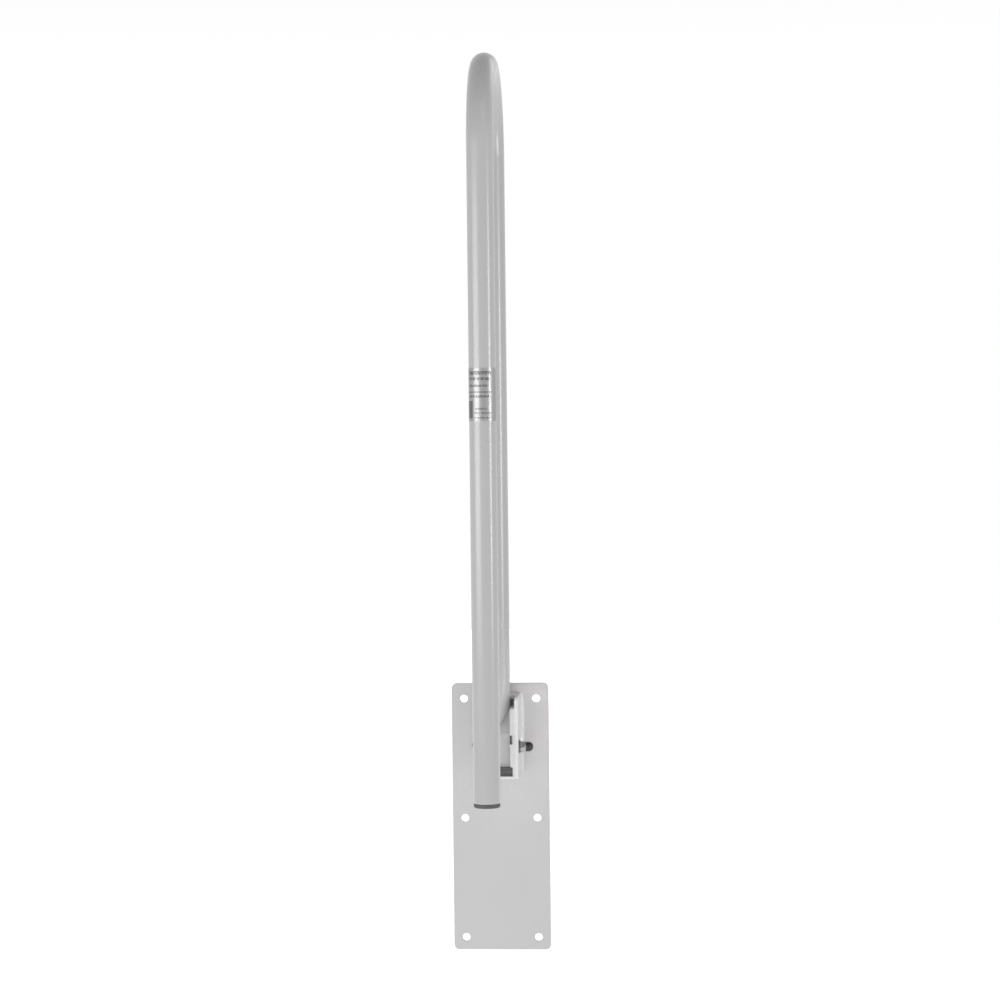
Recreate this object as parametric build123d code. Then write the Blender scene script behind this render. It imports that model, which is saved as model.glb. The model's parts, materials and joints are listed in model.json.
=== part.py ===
from build123d import *
import math
import os

# Fold-down wall grab rail, raised. Millimetres. X runs across the wall, Y into the wall, Z up.
# The origin lies on the wall, at the middle of the back of the wall plate.

# wall plate
PLATE_W = 124.0
PLATE_H = 342.0
PLATE_T = 4.5
PLATE_CORNER_R = 7.0
PLATE_EDGE_R = 0.8
HOLE_D = 10.0
HOLE_PITCH_X = 92.5
HOLE_PITCH_Z = 153.0
HOLE_ROWS = (-1, 0, 1)
HOLE_COLUMNS = (-0.5, 0.5)
HOLE_PATTERN_Z = -2.0

# pivot, measured from the wall plate's middle
PIVOT_STANDOFF = 47.0
PIVOT_Y = -PLATE_T - PIVOT_STANDOFF
PIVOT_Z = 95.0
PIVOT_R = 4.0

# arm tube, measured from the pivot
TUBE_R = 16.0
TUBE_WALL = 1.5
TUBE_BORE_R = TUBE_R - TUBE_WALL
RUN_SPACING = 207.0
BEND_R = RUN_SPACING / 2
ARM_TOP = 854.0
BEND_Z = ARM_TOP - TUBE_R - BEND_R
TUBE_END_Z = 46.0
NEAR_END_Z = -41.6

# tongue on the front of the tube, where it laps over the knuckle
TONGUE_TIP_Z = 26.5
TONGUE_RISE = 19.7
TONGUE_HALF_W = 16.6
TONGUE_POWER = 1.35
TONGUE_STEPS = 7
TONGUE_WELD_R = 1.3

# bracket, measured from the pivot
FLANGE_T = 4.5
FLANGE_IN = 22.0
FLANGE_OUT = FLANGE_IN + FLANGE_T
FLANGE_FRONT = -21.0
FLANGE_TOP = 63.5
FLANGE_CORNER_R = 5.0
FLOOR_T = 3.2
FLOOR_TOP = -35.0
FLOOR_BOTTOM = FLOOR_TOP - FLOOR_T
TIE_T = 3.2
TIE_FRONT = 17.5
FLANGE_WELD_LEG = 4.0
FLOOR_WELD_LEG = 3.0

# slide liners
LINER_IN = 16.2
LINER_T = FLANGE_IN - LINER_IN
LINER_TOP = 50.5
LINER_BACK = 24.0
LINER_CORNER_R = 3.0
SLOT_W = 3.2
SLOT_BOTTOM = 5.2
SLOT_TOP = 16.2
SLOT_DEPTH = 14.0
SLOT_R = 1.2

# raised-stop pad
PAD_HALF_W = 19.0
PAD_TOP = -24.0
PAD_FRONT = -19.0
PAD_BACK = -13.3
PAD_EDGE_R = 1.2
PAD_GAP = 0.3

# knuckle
KNUCKLE_HALF_W = 15.9
KNUCKLE_T = 4.0
WEB_FRONT = -13.0
WEB_KNEE_Z = 18.0
WEB_INNER_KNEE_Z = 17.3
WEB_TOP_Y = -5.0
WEB_TAIL_Z = -31.0
WEB_TAIL_R = 3.0
SIDE_IN = KNUCKLE_HALF_W - KNUCKLE_T
SIDE_BACK = 14.0
SIDE_BOTTOM = -18.0
SIDE_CORNER_R = 13.0
CAP_T = 4.0
SLEEVE_R = 8.0
SLEEVE_BORE_R = 6.0
BUSH_BORE_R = 4.05
BUSH_L = 14.0

# pivot hardware
HEX_SIDES = 6
BORE_R = 4.1
WASHER_R = 8.0
WASHER_T = 1.6
WASHER_EDGE = 0.25
HEAD_R = 7.0
HEAD_H = 4.4
HEAD_RIM_H = 1.5
HEAD_SHOULDER_R = 5.9
HEAD_SHOULDER_H = 3.6
HEAD_TOP_R = 4.2
SOCKET_AF = 5.0
SOCKET_DEPTH = 2.6
NUT_AF = 13.0
NUT_HEX_H = 7.0
NUT_H = 16.5
NUT_DOME_R = 6.1
NUT_CHAMFER_H = 0.9
NUT_CHAMFER_R = 0.55
NUT_BORE_DEPTH = 12.0
BOLT_END_GAP = 0.8
BOLT_TIP_CHAMFER = 0.8

# end bumper
BUMPER_R = 15.7
BUMPER_T = 5.2
BUMPER_EDGE_R = 1.8
PLUG_CORE_R = 11.5
PLUG_FIN_R = 14.4
PLUG_L = 24.0
FIN_T = 1.6
FIN_STEPS = (5.0, 11.0, 17.0)

# label, centred a little to the right of the near run's front
LABEL_T = 0.2
LABEL_BOTTOM = 408.5
LABEL_H = 62.0
LABEL_ANGLE = 205.0
LABEL_TURN = 8.0

HALF_TURN = 180.0
FULL_TURN = 360.0
FRONT_ANGLE = 270.0
FAR = 200.0
CUT = 1.0
SIDES = (("left", -1), ("right", 1))
ON_FLOOR = (Align.CENTER, Align.CENTER, Align.MIN)


def at_pivot(shape):
    """Move a shape drawn around the pivot to its place on the wall plate."""
    return Pos(0, PIVOT_Y, PIVOT_Z) * shape


def yz_prism(points, x_start, width):
    """Extrude a Y-Z outline along +X from x_start."""
    outline = make_face(Polyline(*points, close=True))
    return Plane.YZ.offset(x_start) * extrude(outline, amount=width)


def x_cylinder(radius, x_start, length):
    """A cylinder along +X whose axis is the pivot."""
    return Plane.YZ.offset(x_start) * extrude(Circle(radius), amount=length)


def x_bore(radius, x_start, length):
    """A cutter round the pivot that runs past both faces of what it cuts."""
    return x_cylinder(radius, x_start - CUT, length + 2 * CUT)


def box_between(x0, x1, y0, y1, z0, z1):
    """An axis-aligned box given by its six faces."""
    size = Box(x1 - x0, y1 - y0, z1 - z0)
    return Pos((x0 + x1) / 2, (y0 + y1) / 2, (z0 + z1) / 2) * size


def mirrored(shape, sign):
    """The shape itself on the right, its mirror image on the left."""
    return shape if sign > 0 else mirror(shape, about=Plane.YZ)


def wall_plate():
    """Plate with rounded corners, softened front edge and six plain screw holes."""
    face = RectangleRounded(PLATE_W, PLATE_H, PLATE_CORNER_R)
    plate = Plane.XZ * extrude(face, amount=PLATE_T)
    front = plate.faces().sort_by(Axis.Y)[0]
    plate = fillet(front.edges(), PLATE_EDGE_R)
    hole = Plane.XZ * Pos(0, 0, PLATE_T / 2) * Cylinder(HOLE_D / 2, 2 * PLATE_T)
    for row in HOLE_ROWS:
        for column in HOLE_COLUMNS:
            plate -= Pos(column * HOLE_PITCH_X, 0, HOLE_PATTERN_Z + row * HOLE_PITCH_Z) * hole
    return plate


def flange():
    """Right side flange: stands on the plate and carries the pivot."""
    front_low = (FLANGE_FRONT, FLOOR_BOTTOM)
    back_low = (PIVOT_STANDOFF, FLOOR_BOTTOM)
    back_high = (PIVOT_STANDOFF, FLANGE_TOP)
    front_high = (FLANGE_FRONT, FLANGE_TOP)
    outline = make_face(Polyline(front_low, back_low, back_high, front_high, close=True))
    outline = fillet(outline.vertices().sort_by(Axis.X)[:2], FLANGE_CORNER_R)
    body = Plane.YZ.offset(FLANGE_IN) * extrude(outline, amount=FLANGE_T)
    return at_pivot(body - x_bore(BORE_R, FLANGE_IN, FLANGE_T))


def tie_plate():
    """Plate tying the flanges together above the hinge, behind the tube."""
    bottom = FLANGE_TOP - TIE_T
    return at_pivot(box_between(-FLANGE_IN, FLANGE_IN, TIE_FRONT, PIVOT_STANDOFF, bottom, FLANGE_TOP))


def floor_plate():
    """Plate closing the bottom of the bracket."""
    return at_pivot(box_between(-FLANGE_IN, FLANGE_IN, FLANGE_FRONT, PIVOT_STANDOFF, FLOOR_BOTTOM, FLOOR_TOP))


def fillet_bead(leg, length):
    """Quarter-round bead along +Z in the corner between +X and -Y."""
    corner = make_face(Line((0, 0), (leg, 0)) + RadiusArc((leg, 0), (0, -leg), leg) + Line((0, -leg), (0, 0)))
    return extrude(corner, amount=length)


def flange_weld():
    """Bead down the outside of the right flange's foot."""
    bead = fillet_bead(FLANGE_WELD_LEG, FLANGE_TOP - FLOOR_BOTTOM)
    return at_pivot(Pos(FLANGE_OUT, PIVOT_STANDOFF, FLOOR_BOTTOM) * bead)


def floor_weld():
    """Bead under the floor plate where it meets the wall plate."""
    bead = Rot(0, 90, 0) * fillet_bead(FLOOR_WELD_LEG, 2 * FLANGE_OUT)
    return at_pivot(Pos(-FLANGE_OUT, PIVOT_STANDOFF, FLOOR_BOTTOM) * bead)


def liner():
    """Right slide liner, notched for the stop pad and slotted at its inner front edge."""
    front_low = (FLANGE_FRONT, FLOOR_TOP)
    back_low = (LINER_BACK, FLOOR_TOP)
    back_high = (LINER_BACK, LINER_TOP)
    front_high = (FLANGE_FRONT, LINER_TOP)
    outline = make_face(Polyline(front_low, back_low, back_high, front_high, close=True))
    outline = fillet(outline.vertices().sort_by(Axis.Y)[2:], LINER_CORNER_R)
    body = Plane.YZ.offset(LINER_IN) * extrude(outline, amount=LINER_T)
    body -= x_bore(BORE_R, LINER_IN, LINER_T)
    body -= box_between(0, PAD_HALF_W + PAD_GAP, -FAR, FAR, -FAR, PAD_TOP + PAD_GAP)
    slot_back = FLANGE_FRONT + SLOT_DEPTH
    slot = box_between(0, LINER_IN + SLOT_W, FLANGE_FRONT - CUT, slot_back, SLOT_BOTTOM, SLOT_TOP)
    slot = fillet(slot.edges().filter_by(Axis.Y).group_by(Axis.X)[-1], SLOT_R)
    return at_pivot(body - slot)


def stop_pad():
    """Rubber block on the bracket floor, in front of the knuckle's tail."""
    body = box_between(-PAD_HALF_W, PAD_HALF_W, PAD_FRONT, PAD_BACK, FLOOR_TOP, PAD_TOP)
    front = body.faces().sort_by(Axis.Y)[0]
    return at_pivot(fillet(front.edges(), PAD_EDGE_R))


def washer(x_start):
    """Plain washer around the pivot."""
    ring = x_cylinder(WASHER_R, x_start, WASHER_T)
    ring = chamfer(ring.edges().filter_by(GeomType.CIRCLE), WASHER_EDGE)
    return at_pivot(ring - x_bore(BORE_R, x_start, WASHER_T))


def pivot_bolt():
    """Button-head bolt from the left washer into the cap nut."""
    head_x = -FLANGE_OUT - WASHER_T
    end_x = FLANGE_OUT + WASHER_T + NUT_BORE_DEPTH - BOLT_END_GAP
    shank = x_cylinder(PIVOT_R, head_x, end_x - head_x)
    shank = chamfer(shank.edges().sort_by(Axis.X)[-1], BOLT_TIP_CHAMFER)
    rim = (-HEAD_RIM_H, HEAD_R)
    shoulder = (-HEAD_SHOULDER_H, HEAD_SHOULDER_R)
    top = (-HEAD_H, HEAD_TOP_R)
    profile = Polyline((0, 0), (0, HEAD_R), rim) + ThreePointArc(rim, shoulder, top)
    profile += Polyline(top, (-HEAD_H, 0), (0, 0))
    head = Pos(head_x, 0, 0) * revolve(make_face(profile), Axis.X, FULL_TURN)
    socket = extrude(RegularPolygon(SOCKET_AF / 2, HEX_SIDES, major_radius=False), amount=SOCKET_DEPTH)
    head -= Plane.YZ.offset(head_x - HEAD_H) * socket
    return at_pivot(head + shank)


def cap_nut():
    """Hexagon with a domed cap and a blind bore."""
    hexagon = extrude(RegularPolygon(NUT_AF / 2, HEX_SIDES, major_radius=False), amount=NUT_HEX_H)
    corner_r = NUT_AF / 2 / math.cos(math.pi / HEX_SIDES)
    cone = Cylinder(corner_r, NUT_HEX_H, align=ON_FLOOR)
    cone = chamfer(cone.edges().filter_by(GeomType.CIRCLE), NUT_CHAMFER_H, NUT_CHAMFER_R)
    straight = NUT_H - NUT_HEX_H - NUT_DOME_R
    dome = Pos(0, 0, NUT_HEX_H) * Cylinder(NUT_DOME_R, straight, align=ON_FLOOR)
    dome += Pos(0, 0, NUT_HEX_H + straight) * Sphere(NUT_DOME_R)
    bore = Cylinder(PIVOT_R, NUT_BORE_DEPTH, align=ON_FLOOR)
    body = (hexagon & cone) + dome - bore
    return at_pivot(Plane.YZ.offset(FLANGE_OUT + WASHER_T) * body)


def web_front_points():
    """The knuckle web's front in Y-Z: tail, knee and top."""
    return (WEB_FRONT, WEB_TAIL_Z), (WEB_FRONT, WEB_KNEE_Z), (WEB_TOP_Y, TUBE_END_Z)


def web_back_points():
    """The knuckle web's back in Y-Z: tail, knee and top."""
    back = WEB_FRONT + KNUCKLE_T
    return (back, WEB_TAIL_Z), (back, WEB_INNER_KNEE_Z), (WEB_TOP_Y + KNUCKLE_T, TUBE_END_Z)


def knuckle_web():
    """Bent plate: flat face, sloping top under the tube's tongue and a tail behind the stop pad."""
    body = yz_prism(web_front_points() + web_back_points()[::-1], -KNUCKLE_HALF_W, 2 * KNUCKLE_HALF_W)
    bottom = body.faces().sort_by(Axis.Z)[0]
    front_edge = bottom.edges().filter_by(Axis.X).sort_by(Axis.Y)[0]
    return at_pivot(fillet(front_edge, WEB_TAIL_R))


def knuckle_side():
    """Right side plate of the knuckle, behind the web and under the cap."""
    tail, knee, top = web_back_points()
    under_cap = top[1] - CAP_T
    share = (under_cap - knee[1]) / (top[1] - knee[1])
    front_top = (knee[0] + share * (top[0] - knee[0]), under_cap)
    points = ((knee[0], SIDE_BOTTOM), knee, front_top, (SIDE_BACK, under_cap), (SIDE_BACK, SIDE_BOTTOM))
    outline = make_face(Polyline(*points, close=True))
    low_back = outline.vertices().sort_by(Axis.Y)[:2].sort_by(Axis.X)[-1]
    outline = fillet(low_back, SIDE_CORNER_R)
    body = Plane.YZ.offset(SIDE_IN) * extrude(outline, amount=KNUCKLE_T)
    return at_pivot(body - x_bore(SLEEVE_R, SIDE_IN, KNUCKLE_T))


def knuckle_cap():
    """D-shaped plate closing the tube's end, behind the top of the web."""
    disc = Pos(0, 0, TUBE_END_Z - CAP_T) * extrude(Circle(KNUCKLE_HALF_W), amount=CAP_T)
    tail, knee, top = web_back_points()
    behind_web = (knee, top, (FAR, top[1]), (FAR, knee[1]))
    return at_pivot(disc & yz_prism(behind_web, -FAR, 2 * FAR))


def in_front_of_web():
    """Everything in front of the knuckle web, up to the tube's square end."""
    tail, knee, top = web_front_points()
    return yz_prism((tail, knee, top, (-FAR, top[1]), (-FAR, tail[1])), -FAR, 2 * FAR)


def tongue_edge():
    """One side of the tongue seen from the front, from its tip up: (half width, height)."""
    points = []
    for step in range(TONGUE_STEPS + 1):
        share = step / TONGUE_STEPS
        height = TONGUE_TIP_Z + TONGUE_RISE * math.sin(math.pi / 2 * share**TONGUE_POWER)
        points.append((TONGUE_HALF_W * share, height))
    return points


def arm_tube():
    """Hairpin of round tube: rear run on the pivot, bend on top, near run in front."""
    ring = Circle(TUBE_R) - Circle(TUBE_BORE_R)
    rear = Pos(0, 0, TUBE_END_Z) * extrude(ring, amount=BEND_Z - TUBE_END_Z)
    near = Pos(0, -RUN_SPACING, NEAR_END_Z) * extrude(ring, amount=BEND_Z - NEAR_END_Z)
    bend = Pos(0, -BEND_R, BEND_Z) * revolve(Pos(0, BEND_R, 0) * ring, Axis.X, HALF_TURN)
    edge = tongue_edge()
    left_edge = [(-x, z) for x, z in edge[:0:-1]]
    outline = make_face(Polyline(*left_edge, *edge, close=True))
    column = extrude(ring, amount=TUBE_END_Z)
    tongue = column & (Plane.XZ * extrude(outline, amount=FAR)) & in_front_of_web()
    return at_pivot(rear + near + bend + tongue)


def tongue_weld(tube, web):
    """Bead along both edges of the tongue, on the web's sloping face."""
    slope = (WEB_TOP_Y - WEB_FRONT) / (TUBE_END_Z - WEB_KNEE_Z)
    ball = Sphere(TONGUE_WELD_R)
    beads = []
    for sign in (-1, 1):
        points = [(sign * x, WEB_FRONT + slope * (z - WEB_KNEE_Z), z) for x, z in tongue_edge()[1:-2]]
        bead = Pos(*points[0]) * ball
        for start, end in zip(points, points[1:]):
            path = Line(start, end)
            bead += sweep(Plane(origin=start, z_dir=path % 0) * Circle(TONGUE_WELD_R), path=path)
            bead += Pos(*end) * ball
        beads.append(bead)
    return at_pivot(beads[0] + beads[1]) - tube - web


def pivot_sleeve():
    """Sleeve welded across the knuckle."""
    length = 2 * KNUCKLE_HALF_W
    body = x_cylinder(SLEEVE_R, -KNUCKLE_HALF_W, length)
    return at_pivot(body - x_bore(SLEEVE_BORE_R, -KNUCKLE_HALF_W, length))


def bush():
    """Right bearing bush, flush with the sleeve's end."""
    x0 = KNUCKLE_HALF_W - BUSH_L
    return at_pivot(x_cylinder(SLEEVE_BORE_R, x0, BUSH_L) - x_bore(BUSH_BORE_R, x0, BUSH_L))


def end_bumper():
    """Rubber plug with fins in the near run's end and a flange that meets the wall plate."""
    flange_disc = Pos(0, 0, -BUMPER_T) * extrude(Circle(BUMPER_R), amount=BUMPER_T)
    flange_disc = fillet(flange_disc.edges().sort_by(Axis.Z)[0], BUMPER_EDGE_R)
    body = flange_disc + extrude(Circle(PLUG_CORE_R), amount=PLUG_L)
    for height in FIN_STEPS:
        body += Pos(0, 0, height) * extrude(Circle(PLUG_FIN_R), amount=FIN_T)
    return at_pivot(Pos(0, -RUN_SPACING, NEAR_END_Z) * body)


def rating_label():
    """Foil label wrapped round the front of the near run."""
    start = FRONT_ANGLE + LABEL_TURN - LABEL_ANGLE / 2
    outer = CenterArc((0, 0), TUBE_R + LABEL_T, start, LABEL_ANGLE)
    inner = CenterArc((0, 0), TUBE_R, start, LABEL_ANGLE)
    sector = make_face(outer + inner + Line(outer @ 0, inner @ 0) + Line(outer @ 1, inner @ 1))
    return at_pivot(Pos(0, -RUN_SPACING, LABEL_BOTTOM) * extrude(sector, amount=LABEL_H))


def build():
    """Every node of the rail, by name."""
    web = knuckle_web()
    tube = arm_tube()
    nodes = {
        "wall_plate": wall_plate(),
        "bracket_tie_plate": tie_plate(),
        "bracket_floor": floor_plate(),
        "floor_weld": floor_weld(),
        "raised_stop_pad": stop_pad(),
        "pivot_bolt": pivot_bolt(),
        "head_washer": washer(-FLANGE_OUT - WASHER_T),
        "nut_washer": washer(FLANGE_OUT),
        "cap_nut": cap_nut(),
        "arm_tube": tube,
        "knuckle_web": web,
        "knuckle_cap": knuckle_cap(),
        "tongue_weld": tongue_weld(tube, web),
        "pivot_sleeve": pivot_sleeve(),
        "end_bumper": end_bumper(),
        "rating_label": rating_label(),
    }
    paired = {
        "bracket_flange": flange(),
        "flange_weld": flange_weld(),
        "slide_liner": liner(),
        "knuckle_side": knuckle_side(),
        "pivot_bush": bush(),
    }
    for name, shape in paired.items():
        for side, sign in SIDES:
            nodes[name + "_" + side] = mirrored(shape, sign)
    return nodes


os.makedirs("parts", exist_ok=True)
for node_name, node_shape in build().items():
    export_step(node_shape, "parts/" + node_name + ".step")
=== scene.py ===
import json
import math

import bmesh
import bpy
from mathutils import Matrix, Vector


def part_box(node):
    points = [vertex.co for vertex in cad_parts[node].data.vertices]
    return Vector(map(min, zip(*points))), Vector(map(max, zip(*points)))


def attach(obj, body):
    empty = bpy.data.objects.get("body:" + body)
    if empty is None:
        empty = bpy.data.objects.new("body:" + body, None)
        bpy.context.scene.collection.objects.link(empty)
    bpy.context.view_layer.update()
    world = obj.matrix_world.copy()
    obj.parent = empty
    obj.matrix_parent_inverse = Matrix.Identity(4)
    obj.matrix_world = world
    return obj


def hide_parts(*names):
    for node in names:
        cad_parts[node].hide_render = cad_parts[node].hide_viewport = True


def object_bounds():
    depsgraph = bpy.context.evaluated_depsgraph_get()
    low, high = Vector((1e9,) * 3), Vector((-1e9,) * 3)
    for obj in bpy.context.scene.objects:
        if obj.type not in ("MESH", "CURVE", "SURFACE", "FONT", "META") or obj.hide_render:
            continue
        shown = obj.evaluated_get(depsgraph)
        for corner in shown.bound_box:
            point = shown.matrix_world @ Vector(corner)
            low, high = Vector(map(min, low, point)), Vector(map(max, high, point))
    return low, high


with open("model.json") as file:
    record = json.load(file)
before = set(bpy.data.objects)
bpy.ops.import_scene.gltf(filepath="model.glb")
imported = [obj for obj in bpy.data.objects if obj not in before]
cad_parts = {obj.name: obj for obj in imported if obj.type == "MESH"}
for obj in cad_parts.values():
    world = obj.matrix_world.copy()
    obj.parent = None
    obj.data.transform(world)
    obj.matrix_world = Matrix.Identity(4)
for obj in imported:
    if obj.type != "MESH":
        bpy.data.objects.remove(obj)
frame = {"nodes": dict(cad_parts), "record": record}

# Fold-down wall grab rail, raised. Metres, in the CAD frame: X across the wall, Y into it, Z up.

cad_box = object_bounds()
MM = 0.001
record = frame["record"]
PIVOT = Vector(record["behaviour"]["joints"][0]["pos_m"])
MOUNTS = {mount["name"]: mount for mount in record["mounts"]}


# ---------------------------------------------------------------- sizes


def low(node):
    """Lowest corner of a CAD node's box."""
    return Vector(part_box(node)[0])


def high(node):
    """Highest corner of a CAD node's box."""
    return Vector(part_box(node)[1])


TUBE_R = (high("arm_tube").x - low("arm_tube").x) / 2
TUBE_WALL = 1.5 * MM
TUBE_BORE_R = TUBE_R - TUBE_WALL
REAR_Y = high("arm_tube").y - TUBE_R
NEAR_Y = low("arm_tube").y + TUBE_R
BEND_R = (REAR_Y - NEAR_Y) / 2
BEND_Z = high("arm_tube").z - TUBE_R - BEND_R
REAR_END_Z = high("knuckle_cap").z
NEAR_END_Z = low("arm_tube").z

# tongue that laps over the knuckle, seen from the front: its tip, and how its edge rises to the sides
TONGUE_TIP_Z = PIVOT.z + 26.5 * MM
TONGUE_RISE = 19.7 * MM
TONGUE_HALF_W = 16.6 * MM
TONGUE_POWER = 1.35

# bent plate of the knuckle: front face below and above the knee, and knee heights
KNUCKLE_T = 4.0 * MM
WEB_FRONT_Y = PIVOT.y - 13.0 * MM
WEB_TOP_Y = PIVOT.y - 5.0 * MM
WEB_KNEE_Z = PIVOT.z + 18.0 * MM
WEB_INNER_KNEE_Z = PIVOT.z + 17.3 * MM

PLATE_CORNER_R = 7.0 * MM
PLATE_EDGE_R = 0.8 * MM
FLANGE_CORNER_R = 5.0 * MM
COAT_EDGE_R = 0.6 * MM
TONGUE_WELD_R = 1.3 * MM
PUDDLE_PITCH = 1.9 * MM
SLEEVE_R = 8.0 * MM
PIVOT_R = 4.0 * MM
BORE_R = PIVOT_R + 0.1 * MM

# angles in degrees at which shading breaks
SOFT_ANGLE = 50
CRISP_ANGLE = 30

# camera, at the photograph's viewing angle: place in metres, turns in degrees, lens and sensor in mm
CAMERA_PLACE = Vector((0.2131, -3.2556, 0.4791))
CAMERA_YAW = 3.70
CAMERA_PITCH = -1.31
CAMERA_ROLL = -0.64
CAMERA_LENS = 92.04
CAMERA_SENSOR = 36.0
CAMERA_CLIP = (0.05, 60.0)

UP = Vector((0, 0, 1))
TO_RIGHT = Vector((1, 0, 0))
TO_ROOM = Vector((0, -1, 0))


# ---------------------------------------------------------------- mesh helpers


def add_object(name, data):
    """A new object in the scene."""
    obj = bpy.data.objects.new(name, data)
    bpy.context.scene.collection.objects.link(obj)
    return obj


def mesh_object(name, verts, faces):
    """A new smooth-shaded object from points and faces, with its normals made consistent."""
    mesh = bpy.data.meshes.new(name)
    mesh.from_pydata([tuple(v) for v in verts], [], faces)
    obj = add_object(name, mesh)
    clean(obj)
    return obj


def clean(obj, distance=1e-6):
    """Merge coincident points, drop empty faces, point the normals outward and shade smoothly."""
    bm = bmesh.new()
    bm.from_mesh(obj.data)
    bmesh.ops.remove_doubles(bm, verts=bm.verts, dist=distance)
    bmesh.ops.dissolve_degenerate(bm, edges=bm.edges, dist=distance)
    bmesh.ops.recalc_face_normals(bm, faces=bm.faces)
    bm.to_mesh(obj.data)
    bm.free()
    for polygon in obj.data.polygons:
        polygon.use_smooth = True


def sharpen(obj, degrees):
    """Break the smooth shading at edges steeper than the angle."""
    obj.data.set_sharp_from_angle(angle=math.radians(degrees))


def keep_flats_flat(obj):
    """Smooth normals that follow the broadest flat face at each corner, so that flats stay flat."""
    mesh = obj.data
    facings = [tuple(round(v, 2) for v in polygon.normal) for polygon in mesh.polygons]
    areas = {}
    for facing, polygon in zip(facings, mesh.polygons):
        areas[facing] = areas.get(facing, 0.0) + polygon.area
    around_point = [[] for _ in mesh.vertices]
    for polygon in mesh.polygons:
        for vertex in polygon.vertices:
            around_point[vertex].append(polygon.index)
    limit = math.cos(math.radians(SOFT_ANGLE))
    normals = [None] * len(mesh.loops)
    for polygon in mesh.polygons:
        for loop, vertex in zip(polygon.loop_indices, polygon.vertices):
            total = Vector()
            for other in around_point[vertex]:
                normal = mesh.polygons[other].normal
                if normal.dot(polygon.normal) > limit:
                    total += normal * areas[facings[other]] ** 2
            normals[loop] = total.normalized()
    mesh.normals_split_custom_set(normals)


def apply_modifiers(obj):
    """Turn the object's modifiers into plain geometry."""
    bpy.context.view_layer.update()
    evaluated = obj.evaluated_get(bpy.context.evaluated_depsgraph_get())
    mesh = bpy.data.meshes.new_from_object(evaluated)
    obj.modifiers.clear()
    obj.data = mesh


def cut(obj, *cutters):
    """Take the cutters out of the object."""
    for cutter in cutters:
        modifier = obj.modifiers.new("cut", "BOOLEAN")
        modifier.operation = "DIFFERENCE"
        modifier.solver = "EXACT"
        modifier.object = cutter
    apply_modifiers(obj)
    for cutter in cutters:
        bpy.data.objects.remove(cutter)
    clean(obj)


def soften(obj, width, degrees=40):
    """Round every edge steeper than the angle and keep the broad faces flat."""
    bevel = obj.modifiers.new("soft edges", "BEVEL")
    bevel.width = width
    bevel.segments = 3
    bevel.limit_method = "ANGLE"
    bevel.angle_limit = math.radians(degrees)
    apply_modifiers(obj)
    clean(obj)
    keep_flats_flat(obj)


def grid_faces(rows, columns):
    """Quads over rows of points, each row a closed ring."""
    faces = []
    for r in range(rows - 1):
        for c in range(columns):
            d = (c + 1) % columns
            faces.append((r * columns + c, r * columns + d, (r + 1) * columns + d, (r + 1) * columns + c))
    return faces


def skin(name, rings):
    """A closed body through rings of points, with a flat cap on the first and last ring."""
    columns = len(rings[0])
    verts = [point for ring in rings for point in ring]
    faces = grid_faces(len(rings), columns)
    faces.append(tuple(range(columns)))
    faces.append(tuple(range((len(rings) - 1) * columns, len(rings) * columns)))
    return mesh_object(name, verts, faces)


def around(centre, axis, radius, angle):
    """A point on a circle about an axis; angle zero is at +Z, or at -Y for an upright axis."""
    start = UP if abs(axis.z) < 0.5 else TO_ROOM
    side = axis.cross(start)
    return centre + radius * (math.cos(angle) * start + math.sin(angle) * side)


def lathe(name, profile, place, axis, segments=96):
    """Revolve (radius, height) points about an axis through place. Zero radii close the ends."""
    verts = []
    for radius, height in profile:
        for k in range(segments):
            verts.append(around(place + axis * height, axis, radius, 2 * math.pi * k / segments))
    return mesh_object(name, verts, grid_faces(len(profile), segments))


def arc(centre, radius, start, end, steps):
    """Points on a circular arc, angles in degrees."""
    points = []
    for k in range(steps + 1):
        a = math.radians(start + (end - start) * k / steps)
        points.append((centre[0] + radius * math.cos(a), centre[1] + radius * math.sin(a)))
    return points


def circle(x, y, radius, segments=64):
    """A circle's outline; six segments make a hexagon."""
    return arc((x, y), radius, 0, 360, segments)[:-1]


def rounded(points, radii, steps=10):
    """An outline with rounded corners; a radius of zero keeps the corner sharp."""
    outline = []
    for k, (point, radius) in enumerate(zip(points, radii)):
        here = Vector(point)
        if not radius:
            outline.append(tuple(here))
            continue
        before = (Vector(points[k - 1]) - here).normalized()
        after = (Vector(points[(k + 1) % len(points)]) - here).normalized()
        half = before.angle(after) / 2
        centre = here + (before + after).normalized() * radius / math.sin(half)
        first = here + before * radius / math.tan(half) - centre
        last = here + after * radius / math.tan(half) - centre
        turn = math.atan2(first.x * last.y - first.y * last.x, first.dot(last))
        for step in range(steps + 1):
            a = turn * step / steps
            outline.append((
                centre.x + first.x * math.cos(a) - first.y * math.sin(a),
                centre.y + first.x * math.sin(a) + first.y * math.cos(a),
            ))
    return outline


def rectangle(x0, y0, x1, y1):
    """The four corners of a rectangle."""
    return (x0, y0), (x1, y0), (x1, y1), (x0, y1)


# what a 2-D outline's own X, Y and normal become: a plate on the wall, or a plate beside the pivot
ON_WALL = Matrix(((1, 0, 0, 0), (0, 0, -1, 0), (0, 1, 0, 0), (0, 0, 0, 1)))
BESIDE_PIVOT = Matrix(((0, 0, 1, 0), (1, 0, 0, 0), (0, 1, 0, 0), (0, 0, 0, 1)))


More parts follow.
